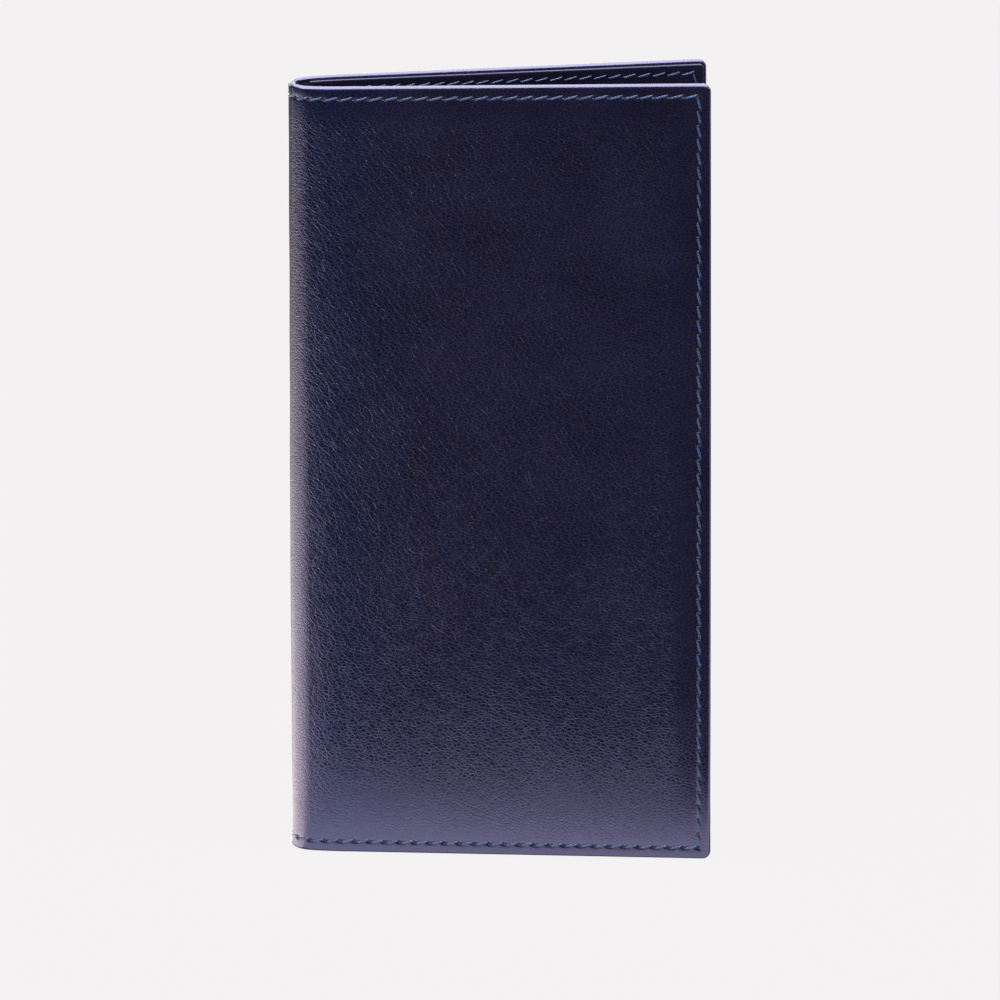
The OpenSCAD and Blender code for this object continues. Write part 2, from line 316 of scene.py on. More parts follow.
class Slab:
    """A sheet over u0..u1 and z0..z1 of a half, whose rim follows a path of (inset, depth)."""

    def __init__(self, side, box, path, radius=CORNER_R, at_spine=False, seams=(), side_extra=0.0,
                 base=None, step=GRID_STEP):
        self.side, self.path, self.radius, self.at_spine = side, path, radius, at_spine
        self.u0, self.u1, self.z0, self.z1 = box
        self.seams, self.side_extra = seams, side_extra
        self.base = base or (lambda u, z: 0 * u)
        self.nu = max(2, round((self.u1 - self.u0) / step))
        self.nz = max(2, round((self.z1 - self.z0) / step))
        self.n, self.m, self.k = self.nu * FINE + 1, self.nz * FINE + 1, ARC - 1

    def extra(self, inset):
        """How much further in the free side's seam lies, fading out towards the edge."""
        return self.side_extra * min(1.0, max(0.0, (inset - 0.9) / 0.5))

    def loop(self, inset):
        """Outline at an inset, as (u, z, stitch count); less than nothing lies outside it."""
        r = max(self.radius - inset, 0.0)
        rs = 0.0 if self.at_spine else max(min(self.radius, SPINE_CORNER_R) - inset, 0.0)
        a0, a1 = self.u0 + (0 if self.at_spine else inset), self.u1 - inset - self.extra(inset)
        b0, b1 = self.z0 + inset, self.z1 - inset
        arc = np.linspace(0, math.pi / 2, ARC + 1)[1:-1]
        row, tall = ROW_STITCHES, SIDE_STITCHES
        fixed = lambda value: np.full(self.k, float(value))
        parts = [
            (np.linspace(a0 + rs, a1 - r, self.n), np.full(self.n, b0), np.linspace(0, row, self.n)),
            (a1 - r + r * np.sin(arc), b0 + r - r * np.cos(arc), fixed(row)),
            (np.full(self.m, a1), np.linspace(b0 + r, b1 - r, self.m), row + np.linspace(0, tall, self.m)),
            (a1 - r + r * np.cos(arc), b1 - r + r * np.sin(arc), fixed(row + tall)),
            (np.linspace(a1 - r, a0 + rs, self.n), np.full(self.n, b1),
             row + tall + np.linspace(0, row, self.n)),
        ]
        if not self.at_spine:
            parts += [
                (a0 + rs - rs * np.sin(arc), b1 - rs + rs * np.cos(arc), fixed(-1)),
                (np.full(self.m, a0), np.linspace(b1 - rs, b0 + rs, self.m), np.full(self.m, -1.0)),
                (a0 + rs - rs * np.cos(arc), b0 + rs - rs * np.sin(arc), fixed(-1)),
            ]
        return tuple(np.concatenate([p[i] for p in parts]) for i in range(3))

    def merge(self, ids, inset):
        """Point numbers of a ring, with the points of a collapsed corner made one."""
        ids, n, m, k = ids.copy(), self.n, self.m, self.k
        if inset >= self.radius - TINY:
            ids[n:n + k + 1] = ids[n - 1]
            ids[n + k + m:n + k + m + k + 1] = ids[n + k + m - 1]
        if not self.at_spine and inset >= min(self.radius, SPINE_CORNER_R) - TINY:
            third = n + k + m + k + n
            ids[third:third + k + 1] = ids[third - 1]
            fourth = third + k + m
            ids[fourth:fourth + k] = ids[fourth - 1]
            ids[0] = ids[fourth - 1]
        return ids

    def pucker(self, inset, t):
        """Depth that a row of stitches pulls the face in by."""
        return np.where(t < 0, 0.0, pucker_depth(inset - SEAM_INSET, t, COVER_DENT_REACH))

    def split(self, ring):
        """The four sides of a ring: bottom, free side, top and spine side, as it runs."""
        n, m, k = self.n, self.m, self.k
        ends = [(0, n), (n + k, n + k + m), (n + k + m + k, n + k + m + k + n)]
        if not self.at_spine:
            start = n + k + m + k + n + k
            ends.append((start, start + m))
        return [ring[a:b] for a, b in ends]

    def pattern(self, u, z):
        """Flat coordinates, measured round the wallet from the spine's middle."""
        return np.stack([self.side * (u - BORDER_U + SPINE_LEN), z], axis=-1)

    def inner_grid(self, piece, ring, inset, depth):
        """Grid inside a ring, which shares the ring's points along its border."""
        gu = np.linspace(self.u0 + (0 if self.at_spine else inset),
                         self.u1 - inset - self.extra(inset), self.nu + 1)
        gz = np.linspace(self.z0 + inset, self.z1 - inset, self.nz + 1)
        first = 0 if self.at_spine else 1
        u, z = np.meshgrid(gu[first:-1], gz[1:-1], indexing="ij")
        points = place(self.side, u, z, depth + self.base(u, z))
        ids = np.zeros((self.nu + 1, self.nz + 1), int)
        ids[first:-1, 1:-1] = piece.add(points, self.pattern(u, z))
        sides = self.split(ring)
        ids[:, 0], ids[-1], ids[:, -1] = sides[0][::FINE], sides[1][::FINE], sides[2][::-FINE]
        if not self.at_spine:
            ids[0] = sides[3][::-FINE]
        self.grid_faces(piece, ids, sides)
        return ids

    def grid_faces(self, piece, ids, sides):
        """Faces of the grid; those on its border take in the ring's finer points."""
        for i in range(self.nu):
            for j in range(self.nz):
                low, high = [ids[i, j], ids[i + 1, j]], [ids[i + 1, j + 1], ids[i, j + 1]]
                out, home = [ids[i + 1, j], ids[i + 1, j + 1]], [ids[i, j + 1], ids[i, j]]
                if j == 0:
                    low = sides[0][i * FINE:(i + 1) * FINE + 1]
                if i == self.nu - 1:
                    out = sides[1][j * FINE:(j + 1) * FINE + 1]
                if j == self.nz - 1:
                    high = sides[2][::-1][i * FINE:(i + 1) * FINE + 1][::-1]
                if i == 0 and not self.at_spine:
                    home = sides[3][::-1][j * FINE:(j + 1) * FINE + 1][::-1]
                piece.face([*low, *out, *high, *home])

    def make(self):
        """The slab as a new piece."""
        piece, rings, length, last = Piece(), [], 0.0, self.path[0]
        edge = min(range(len(self.path)), key=lambda i: self.path[i][0])
        for i, (inset, depth) in enumerate(self.path):
            length += math.hypot(inset - last[0], depth - last[1])
            last = (inset, depth)
            u, z, t = self.loop(inset)
            # An edge carries on the outer face's pattern; the inner face is laid out on its own.
            turned_over = i > edge and inset > 0.2 and abs(depth - self.path[-1][1]) < 0.06
            ud, zd, _ = self.loop(inset if turned_over else self.path[0][0] - length)
            face = "outer" if i <= edge else "inner"
            sewn = face in self.seams
            sunk = (1 if i <= edge else -1) * self.pucker(inset, t) if sewn else 0
            away = np.where((t < 0) | (not sewn), FAR_OFF, inset - SEAM_INSET)
            points = place(self.side, u, z, depth + sunk + self.base(u, z))
            ids = piece.add(points, self.pattern(ud, zd), np.stack([t, away], axis=1))
            rings.append(self.merge(ids, inset))
        piece.quads(np.array(rings), wrap=not self.at_spine)
        a = self.inner_grid(piece, rings[0], *self.path[0])
        b = self.inner_grid(piece, rings[-1], *self.path[-1])
        if self.at_spine:
            top, foot = [r[-1] for r in rings], [r[0] for r in rings[::-1]]
            piece.face([*a[0, 1:-1], *top, *b[0, -2:0:-1], *foot])
        return piece

    def holes(self):
        """Needle holes of the seam, in order, as (u, z)."""
        u, z, t = self.loop(SEAM_INSET)
        keep = t >= 0
        return [(float(np.interp(i, t[keep], u[keep])), float(np.interp(i, t[keep], z[keep])))
                for i in range(2 * ROW_STITCHES + SIDE_STITCHES + 1)]


# ---- Spine: a profile swept round the fold, in four sections between the bodies ----

SECTIONS = [
    ("back", 1, "back_cover", "spine_back"), ("middle_back", 2, "spine_back", "spine_middle"),
    ("middle_front", 3, "spine_middle", "spine_front"), ("front", 4, "spine_front", "front_cover"),
]
MID_T = next(t for t in np.linspace(0.3, 1.3, 2001) if spine_length(t) >= SPINE_LEN / 2)
BORDERS = [SPINE_T, MID_T, 0.0, -MID_T, -SPINE_T]
SWEEP_STEPS = 20


def swept_loop(path, z0, z1):
    """Closed (z, depth, inset, developed z) loop of a spine layer, matching a slab's end."""
    rows, length, last = [], 0.0, path[0]
    for inset, depth in path:
        length += math.hypot(inset - last[0], depth - last[1])
        last = (inset, depth)
        rows.append((inset, depth, path[0][0] - length))
    count = max(2, round((z1 - z0) / GRID_STEP))
    outer = np.linspace(z0 + path[0][0], z1 - path[0][0], count + 1)[1:-1]
    inner = np.linspace(z0 + path[-1][0], z1 - path[-1][0], count + 1)[1:-1]
    shift = rows[-1][2] - path[-1][0]
    loop = [(z, path[0][1], FAR_OFF, z) for z in outer]
    loop += [(z1 - inset, depth, inset, z1 - grown) for inset, depth, grown in rows]
    loop += [(z, path[-1][1], FAR_OFF, z + shift) for z in inner[::-1]]
    loop += [(z0 + inset, depth, inset, z0 + grown) for inset, depth, grown in rows[::-1]]
    return np.array(loop)


def sweep(piece, path, z0, z1, section, sewn):
    """Adds one section of a spine layer."""
    loop = swept_loop(path, z0, z1)
    t0, t1 = BORDERS[section - 1], BORDERS[section]
    share = np.linspace(0, 1, SWEEP_STEPS + 1)[:, None]
    t = t0 + (t1 - t0) * share + 0 * loop[None, :, 0]
    z = loop[None, :, 0] + 0 * t
    away = loop[None, :, 2] - SEAM_INSET + 0 * t
    on_face = (loop[None, :, 1] < OUTER_FACE_D) & sewn
    sunk = pucker_depth(away, share + 0 * t, SPINE_DENT_REACH) * on_face
    flat = np.stack([spine_length(t), loop[None, :, 3] + 0 * t], axis=-1)
    seam = np.stack([share + 0 * t, np.where(on_face, away, FAR_OFF)], axis=-1)
    ids = piece.add(place_spine(t, z, loop[None, :, 1] + sunk), flat, seam)
    piece.quads(ids)
    piece.face(ids[0])
    piece.face(ids[-1])


def bend(obj, section, depth):
    """Bakes a spine piece's placement into its mesh; the ends of its section are found, but not used."""
    _, index, a, b = SECTIONS[section - 1]
    start, end = (place_spine(BORDERS[i], HEIGHT / 2, depth) for i in (index - 1, index))
    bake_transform(obj)


# ---- Sewing thread ----


def stitch(piece, a, b, normal, slant=STITCH_ASLANT, rise=0.06, sink=0.34, radius=THREAD_R,
           around=12, along=12, trim=0.03):
    """One stitch from hole a to hole b, in metres; normal points away from the leather."""
    a, b, normal = (np.asarray(x, float) for x in (a, b, normal))
    run = b - a
    lateral = np.cross(normal, run)
    s = np.linspace(trim, 1 - trim, along + 1)
    bow = (np.abs(s - 0.5) / (0.5 - trim)) ** 6
    height = (rise - (rise + sink) * bow) * MM
    centre = a + s[:, None] * run + ((s - 0.5) * math.tan(math.radians(slant)))[:, None] * lateral
    centre = centre + height[:, None] * normal
    ahead = np.gradient(centre, axis=0)
    ahead /= np.linalg.norm(ahead, axis=1, keepdims=True)
    side = np.cross(ahead, normal)
    side /= np.linalg.norm(side, axis=1, keepdims=True)
    up = np.cross(side, ahead)
    angle = np.linspace(0, 2 * math.pi, around, endpoint=False)
    length = float(np.linalg.norm(run)) / MM
    turn = 2 * math.pi * s[:, None] * length / PLY_PITCH
    grown = radius * MM * (1 + 0.16 * np.cos(3 * (angle[None, :] - turn)))
    across, over = np.cos(angle)[None, :, None], 0.86 * np.sin(angle)[None, :, None]
    ring = across * side[:, None, :] + over * up[:, None, :]
    share = s[:, None] + 0 * angle
    flat = np.stack([share * length, angle[None, :] / (2 * math.pi) + 0 * share], axis=-1)
    share = np.stack([share, 0 * share], axis=-1)
    ids = piece.add(centre[:, None, :] + grown[..., None] * ring, flat, share)
    piece.quads(ids)
    piece.face(ids[0])
    piece.face(ids[-1][::-1])


def outward(side, u, z):
    """Unit normal of a half's outer face."""
    step = place(side, u, z, -1.0) - place(side, u, z, 0.0)
    return step / np.linalg.norm(step)


def sew(piece, side, holes, depth, face, **options):
    """A run of stitches through (u, z) holes; depth gives the leather's depth at a hole."""
    sign = 1 if face == "outer" else -1
    points = [place(side, u, z, float(depth(u, z))) for u, z in holes]
    for (u, z), (v, w), a, b in zip(holes, holes[1:], points, points[1:]):
        normal = outward(side, (u + v) / 2, (z + w) / 2) * sign
        stitch(piece, a, b, normal, **options)


# ---- Materials ----

NAVY_DARK, NAVY_LIGHT = (0.0142, 0.0122, 0.039), (0.0205, 0.0178, 0.054)
NAVY_BLUE = (0.008, 0.017, 0.066)
GLOSS_TINT = (0.62, 0.60, 1.0, 1)
# Cells of the grain: width and height in pebbles, and turn in degrees.
COARSE_CELL, FINE_CELL, LONG_CELL = (1.2, 0.75, 16), (0.55, 0.42, -25), (4.2, 1.5, 54)
FINE_RELIEF, LONG_RELIEF, PORE_RELIEF = 0.09, 0.26, 0.03
# Fades: two places in mm before the edge, and the share of the grain left at each.
SEAM_PRESS, EDGE_PRESS = (-10.5, -4.5, 1.0, 0.4), (-2.2, -0.2, 1.0, 0.2)
HOLE_COLOR = (0.002, 0.003, 0.010)
TONGUE_DARK, TONGUE_LIGHT = (0.01, 0.011, 0.028), (0.014, 0.016, 0.04)
LINING_DARK, LINING_LIGHT = (0.004, 0.006, 0.02), (0.014, 0.02, 0.06)
BOARD_DARK, BOARD_LIGHT = (0.16, 0.11, 0.07), (0.34, 0.26, 0.18)
TAPE_DARK, TAPE_LIGHT = (0.3, 0.26, 0.2), (0.62, 0.56, 0.46)
# Thread colours: painted shade for the grooves between the plies, painted light for their crests.
THREAD_SHADED, THREAD_LIT = (0.010, 0.03, 0.13), (0.10, 0.20, 0.52)
# Painted shade for the thread's ends, inside the needle holes.
THREAD_END_SHADE = (0.002, 0.004, 0.022)


class Shader:
    """A procedural material, built node by node."""

    def __init__(self, name, **sockets):
        self.material = bpy.data.materials.new(name)
        self.material.use_nodes = True
        self.tree = self.material.node_tree
        self.bsdf = self.tree.nodes["Principled BSDF"]
        for label, value in sockets.items():
            self.bsdf.inputs[label.replace("_", " ")].default_value = value

    @classmethod
    def over(cls, tree):
        """A builder of nodes in a tree that is not a Principled material's."""
        made = cls.__new__(cls)
        made.tree = tree
        return made

    def node(self, kind, inputs=None, **settings):
        """A new node; inputs are values or sockets by name or number."""
        made = self.tree.nodes.new("ShaderNode" + kind)
        for key, value in settings.items():
            setattr(made, key, value)
        for key, value in (inputs or {}).items():
            self.put(made.inputs[key], value)
        return made

    def put(self, socket, value):
        """Links a socket to the input, or sets a value on it."""
        if isinstance(value, bpy.types.NodeSocket):
            self.tree.links.new(value, socket)
        else:
            socket.default_value = value

    def calc(self, operation, *values):
        return self.node("Math", dict(enumerate(values)), operation=operation).outputs[0]

    def add(self, a, b):
        return self.calc("ADD", a, b)

    def sub(self, a, b):
        return self.calc("SUBTRACT", a, b)

    def mul(self, a, b):
        return self.calc("MULTIPLY", a, b)

    def abs(self, a):
        return self.calc("ABSOLUTE", a)

    def flat(self, label="flat"):
        """The flat coordinates of the leather, in mm."""
        return self.node("UVMap", uv_map=label).outputs["UV"]

    def parts(self, vector):
        """The x and y of a vector."""
        made = self.node("SeparateXYZ", {0: vector})
        return made.outputs[0], made.outputs[1]

    def sized(self, vector, x, y, turn=0.0):
        """The same place in steps of x and y mm, along axes turned by an angle in degrees."""
        values = {"Vector": vector, "Scale": (x, y, 1), "Rotation": (0, 0, math.radians(turn))}
        return self.node("Mapping", values, vector_type="TEXTURE").outputs[0]

    def noise(self, vector, scale, detail=3, rough=0.5):
        values = {"Vector": vector, "Scale": scale, "Detail": detail, "Roughness": rough}
        return self.node("TexNoise", values).outputs[0]

    def smooth(self, value, low, high, out_low=0.0, out_high=1.0):
        """A soft step from out_low at low to out_high at high."""
        values = {"Value": value, "From Min": low, "From Max": high, "To Min": out_low, "To Max": out_high}
        return self.node("MapRange", values, interpolation_type="SMOOTHSTEP").outputs[0]

    def mix(self, share, a, b, blend="MIX"):
        made = self.node("Mix", data_type="RGBA", blend_type=blend)
        self.put(made.inputs[0], share)
        for socket, value in ((made.inputs[6], a), (made.inputs[7], b)):
            self.put(socket, value if isinstance(value, bpy.types.NodeSocket) else (*value, 1))
        return made.outputs[2]

    def warped(self, vector, scale, amount):
        """The same place, shifted a little by a noise."""
        color = self.noise(vector, scale, 2).node.outputs["Color"]
        shift = self.node("VectorMath", {0: color, 1: (0.5,) * 3}, operation="SUBTRACT").outputs[0]
        grown = self.node("VectorMath", {0: shift, "Scale": amount}, operation="SCALE").outputs[0]
        return self.node("VectorMath", {0: vector, 1: grown}, operation="ADD").outputs[0]

    def cells(self, vector):
        """Distance to the borders of cells about one step wide."""
        made = self.node("TexVoronoi", {"Vector": vector, "Scale": 1.0},
                         feature="DISTANCE_TO_EDGE", voronoi_dimensions="2D")
        return made.outputs["Distance"]

    def bump(self, height, distance):
        """Relief, in which a height of 1 stands distance mm high."""
        made = self.node("Bump", {"Height": height, "Distance": distance * MM, "Strength": 1.0})
        self.tree.links.new(made.outputs[0], self.bsdf.inputs["Normal"])

    def finish(self, color, roughness):
        self.put(self.bsdf.inputs["Base Color"], color)
        self.put(self.bsdf.inputs["Roughness"], roughness)
        return self.material


def leather(name, dark, light, blue, pebble, depth, roughness, sewn=False, **sockets):
    """Calf leather: cells of about pebble mm, slanting creases, pores and, when sewn, needle slits."""
    s = Shader(name, **sockets)
    at = s.flat()
    x, y = s.parts(at)
    bent = s.warped(s.warped(at, 0.45, 0.5 * pebble), 2.2, 0.14 * pebble)
    coarse, fine, long = (s.cells(s.sized(bent, wide * pebble, high * pebble, turn))
                          for wide, high, turn in (COARSE_CELL, FINE_CELL, LONG_CELL))
    pores = s.noise(at, 5.5, 3, 0.6)
    patches = s.noise(at, 0.055, 3)
    press = s.noise(at, 0.35, 2)
    creases = s.mul(s.smooth(coarse, 0.0, 0.2), s.smooth(press, 0.3, 0.65, 0.22, 0.38))
    small = s.smooth(fine, 0.0, 0.22)
    slanting = s.smooth(long, 0.0, 0.08)
    height = s.add(creases, s.mul(small, FINE_RELIEF))
    height = s.add(height, s.mul(slanting, LONG_RELIEF))
    height = s.add(height, s.mul(pores, PORE_RELIEF))
    past_end = s.sub(s.abs(s.sub(y, HEIGHT / 2)), HEIGHT / 2)
    past_side = s.sub(s.abs(x), COVER_W + SPINE_LEN - BORDER_U)
    rim = s.calc("MAXIMUM", past_end, past_side)
    pressed = s.smooth(rim, *SEAM_PRESS)
    height = s.mul(s.mul(height, pressed), s.smooth(rim, *EDGE_PRESS))
    color = s.mix(s.smooth(patches, 0.3, 0.7), dark, light)
    color = s.mix(s.smooth(s.noise(at, 0.14, 2), 0.45, 0.75, 0.0, 0.45), color, blue)
    # Painted sheen: the colour turns bluer towards the spine, where the leather curves round the fold.
    painted_spine_sheen = s.smooth(s.abs(x), 34.0, 6.0)
    color = s.mix(s.mul(painted_spine_sheen, s.smooth(press, 0.2, 0.7, 0.6, 1.0)), color, blue)
    # Painted highlight: the grain's cell borders and slanting creases are made lighter in the colour, half as much
    # near the top, standing for light caught on their ridges.
    highlight_lines = s.mul(s.smooth(coarse, 0.0, 0.13, 1.0, 0.0), s.smooth(pores, 0.35, 0.65, 0.3, 1.0))
    highlight_lines = s.mul(highlight_lines, s.smooth(s.noise(at, 0.6, 3), 0.38, 0.62, 0.2, 1.1))
    highlight_lines = s.calc("MAXIMUM", highlight_lines, s.smooth(long, 0.0, 0.07, 1.25, 0.0))
    highlight_lines = s.mul(s.mul(highlight_lines, pressed), s.smooth(y, 50.0, 150.0, 1.0, 0.5))
    painted_highlight_gain = s.add(0.78, s.mul(highlight_lines, 0.8))
    color = s.mix(1.0, color, s.node("CombineColor", {0: painted_highlight_gain, 1: painted_highlight_gain, 2: painted_highlight_gain}).outputs[0], "MULTIPLY")
    worn = s.mul(s.smooth(rim, -1.0, 0.4), s.smooth(s.noise(at, 0.9, 4), 0.35, 0.7))
    color = s.mix(s.mul(worn, 0.3), color, tuple(min(1, 2.2 * c + 0.01) for c in light))
    rough = s.add(s.smooth(coarse, 0.0, 0.12, roughness + 0.3, roughness),
                  s.mul(s.sub(patches, 0.5), 0.1))
    if sewn:
        t, away = s.parts(s.flat("seam"))
        slit = s.add(t, s.mul(away, 0.1))
        beat = s.calc("COSINE", s.mul(slit, 2 * math.pi))
        hole = s.mul(s.smooth(beat, 0.86, 0.98), s.smooth(s.abs(away), 0.34, 0.16))
        color = s.mix(hole, color, HOLE_COLOR)
        rough = s.add(rough, s.mul(hole, 0.5))
        height = s.sub(height, hole)
    s.bump(height, depth)
    return s.finish(color, rough)


def woven(name, dark, light, pitch, depth, roughness, **sockets):
    """Plain weave with pitch mm between threads."""
    s = Shader(name, **sockets)
    at = s.warped(s.flat(), 0.4, 0.25)
    x, y = s.parts(at)
    over = s.calc("SINE", s.mul(x, math.pi / pitch))
    under = s.calc("SINE", s.mul(y, math.pi / pitch))
    weave = s.abs(s.mul(over, under))
    slub = s.noise(s.sized(at, 3.3, 0.25), 1.0, 3)
    height = s.add(weave, s.mul(slub, 0.4))
    s.bump(height, depth)
    color = s.mix(s.smooth(height, 0.1, 1.2), dark, light)
    return s.finish(color, s.smooth(slub, 0.2, 0.8, roughness - 0.08, roughness + 0.08))


def fibrous(name, dark, light, roughness):
    """Pressed fibre board."""
    s = Shader(name)
    at = s.flat()
    fibres = s.noise(s.sized(at, 2.0, 0.33, 20), 1.3, 5, 0.65)
    specks = s.noise(at, 3.0, 3)
    height = s.add(fibres, s.mul(specks, 0.5))
    s.bump(height, 0.05)
    color = s.mix(s.smooth(height, 0.5, 1.0), dark, light)
    return s.finish(color, s.smooth(specks, 0.3, 0.7, roughness, 0.95))


def thread_material():
    """Glossy three-ply polyester thread."""
    s = Shader("sewing_thread", Sheen_Weight=0.3, Sheen_Roughness=0.4)
    x, y = s.parts(s.flat())
    lay = s.add(s.mul(y, 3.0), s.mul(x, -3 / PLY_PITCH))
    ply = s.calc("SINE", s.mul(lay, 2 * math.pi))
    along = s.node("CombineXYZ", {0: s.mul(lay, 9.0), 1: x}).outputs[0]
    hair = s.noise(along, 1.0, 2)
    height = s.add(s.mul(ply, 0.4), hair)
    s.bump(height, 0.03)
    # Painted shade and highlight: darker in the grooves between the plies, lighter on their crests, with a random
    # tone from the hairs.
    color = s.mix(s.smooth(height, -0.1, 1.1), THREAD_SHADED, THREAD_LIT)
    # Painted shade: the thread darkens towards each end, where it sinks into its needle hole.
    ends = s.abs(s.sub(s.parts(s.flat("seam"))[0], 0.5))
    color = s.mix(s.smooth(ends, 0.27, 0.40), color, THREAD_END_SHADE)
    return s.finish(color, s.smooth(hair, 0.3, 0.7, 0.22, 0.38))


MATERIALS = {
    "cover_leather": leather("cover_leather", NAVY_DARK, NAVY_LIGHT, NAVY_BLUE, 0.95, 0.085, 0.12,
                             sewn=True, Specular_Tint=GLOSS_TINT, Specular_IOR_Level=1.0),
    "inner_leather": leather("inner_leather", NAVY_DARK, NAVY_LIGHT, NAVY_LIGHT, 0.8, 0.05, 0.28,
                             Specular_Tint=GLOSS_TINT),
    "pocket_tongue_leather": leather("pocket_tongue_leather", TONGUE_DARK, TONGUE_LIGHT, TONGUE_LIGHT,
                                     0.55, 0.02, 0.5),
    "lining_fabric": woven("lining_fabric", LINING_DARK, LINING_LIGHT, 0.32, 0.06, 0.75,
                           Sheen_Weight=0.05, Specular_IOR_Level=0.2),
    "stiffener_board": fibrous("stiffener_board", BOARD_DARK, BOARD_LIGHT, 0.8),
    "spine_tape": woven("spine_tape", TAPE_DARK, TAPE_LIGHT, 0.4, 0.08, 0.85),
    "sewing_thread": thread_material(),
}


def finish_piece(piece, name, slot, body, *nodes):
    """Builds a piece with its finish, attaches it to its body, if any, and hides the CAD nodes that it stands for.
    """
    obj = piece.build(name, MATERIALS[slot], LIP_SHARP if slot == "inner_leather" else SHARP)
    if body:
        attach(obj, body)
    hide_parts(*nodes)
    return obj


# ---- Covers ----

SIDES = {1: ("back", "back_cover"), -1: ("front", "front_cover")}
FULL = (BORDER_U, COVER_W, 0.0, HEIGHT)


def outer_skin(side, seams=()):
    """The turned-over leather of a cover."""
    return Slab(side, FULL, turned_path(), at_spine=True, seams=seams,
                side_extra=SIDE_SEAM_INSET - SEAM_INSET)


def inset_box(start_u, inset):
    """The u and z limits of a layer that stops short of the cover's edges."""
    return start_u, COVER_W - inset, inset, HEIGHT - inset


def make_cover(side):
    """Skin, stiffener board and lining of one half."""
    half, body = SIDES[side]
    skin = outer_skin(side, ("outer",))
    finish_piece(skin.make(), f"{half}_cover_skin", "cover_leather", body, f"{half}_cover_leather")
    low, high = BOARD
    board = Slab(side, inset_box(BOARD_START_U, BOARD_INSET),
                 sheet_path(low[2] + BOARD_GAP, high[2] - BOARD_GAP, THIN_EDGE),
                 radius=BOARD_R, step=BOARD_STEP)
    finish_piece(board.make(), f"{half}_stiffener", "stiffener_board", body, f"{half}_board")
    lining = Slab(side, inset_box(BORDER_U, LINING_INSET), sheet_path(LINING_D, INNER_D, THIN_EDGE),
                  radius=LINING_R, at_spine=True, step=2 * GRID_STEP)
    lining = finish_piece(lining.make(), f"{half}_cover_lining", "lining_fabric", body, f"{half}_lining")


def make_spine():
    """Skin, tape, gutter lining and stitches of the spine, each in four sections."""
    tape, lining = sheet_path(*TAPE_DEPTHS, THIN_EDGE), sheet_path(LINING_D, INNER_D, THIN_EDGE)
    stands_for = {1: ["back"], 2: ["middle"], 3: [], 4: ["front"]}
    # part, finish, CAD node, profile, inset at the ends, depth of its middle, sewn
    layers = [("skin", "cover_leather", "spine_leather", turned_path(), 0.0, 1.0, True),
              ("tape", "spine_tape", "spine_tape", tape, TAPE_INSET, 0.9, False),
              ("gutter", "lining_fabric", "spine_lining", lining, LINING_INSET, 1.7, False)]
    for name, index, _, _ in SECTIONS:
        for part, slot, node, path, inset, depth, sewn in layers:
            piece = Piece()
            sweep(piece, path, inset, HEIGHT - inset, index, sewn)
            obj = finish_piece(piece, f"spine_{part}_{name}", slot, None,
                               *[f"{node}_{x}" for x in stands_for[index]])
            bend(obj, index, depth)
        obj = finish_piece(spine_stitches(index), f"spine_stitches_{name}", "sewing_thread", None,
                           *[f"spine_thread_{x}" for x in stands_for[index]])
        bend(obj, index, 1.0)


def spine_stitches(section):
    """One stitch on each row of a spine section, outside and inside."""
    piece = Piece()
    t0, t1 = BORDERS[section - 1], BORDERS[section]
    for z, order in ((SEAM_INSET, 1), (HEIGHT - SEAM_INSET, 0)):
        for depth, sign, radius in ((THREAD_DEPTH, 1, THREAD_R),
                                    (INNER_D - GUTTER_LIFT, -1, GUTTER_THREAD_R)):
            ends = [place_spine(t, z, depth) for t in ((t0, t1), (t1, t0))[order]]
            mid = (t0 + t1) / 2
            normal = place_spine(mid, z, -1.0) - place_spine(mid, z, 0.0)
            bowed = place_spine(mid, z, depth) - (ends[0] + ends[1]) / 2
            rise = 0.02 + float(np.linalg.norm(bowed)) / MM * (1 if sign > 0 else -0.6)
            normal *= sign / np.linalg.norm(normal)
            stitch(piece, ends[0], ends[1], normal, rise=rise, radius=radius)
    return piece


def outer_stitches(side):
    """Stitches along the bottom, free side and top of an outer face."""
    piece = Piece()
    holes = outer_skin(1).holes()
    sew(piece, side, holes if side < 0 else holes[::-1], lambda u, z: THREAD_DEPTH, "outer")
    return piece


def sew_inner(piece, side, holes, depth):
    """Stitches on an inner face, where depth gives the leather's surface."""
    sew(piece, side, holes, lambda u, z: depth(u, z) - INNER_SINK, "inner",
        rise=INNER_RISE, radius=INNER_THREAD_R)


# ---- Inside of the back cover: card pockets ----


def tile_base(k):
    """Depth of the back of card pocket k."""
    return lambda u, z: TILE_D + TILE_SLOPE * np.clip(z - LIPS[k - 1] + POCKET_DEPTH, 0, None)


def lip_path(thickness):
    """A facing: thin sheet whose rim is a turned, slightly swollen edge."""
    back = [(4.6, 0), (3.0, 0), (1.7, 0), (1.3, 0.05), (1.0, -0.02), (0.4, -0.03)]
    tip = (0, thickness / 2)
    edge = quarter(back[-1], tip, False, 5) + quarter(tip, (0.3, thickness), True, 4)
    face = [(0.8, 0.05), (1.1, -0.03), (1.4, 0.01), (3.0, 0), (4.6, 0)]
    return back + edge + [(inset, thickness + swell) for inset, swell in face]


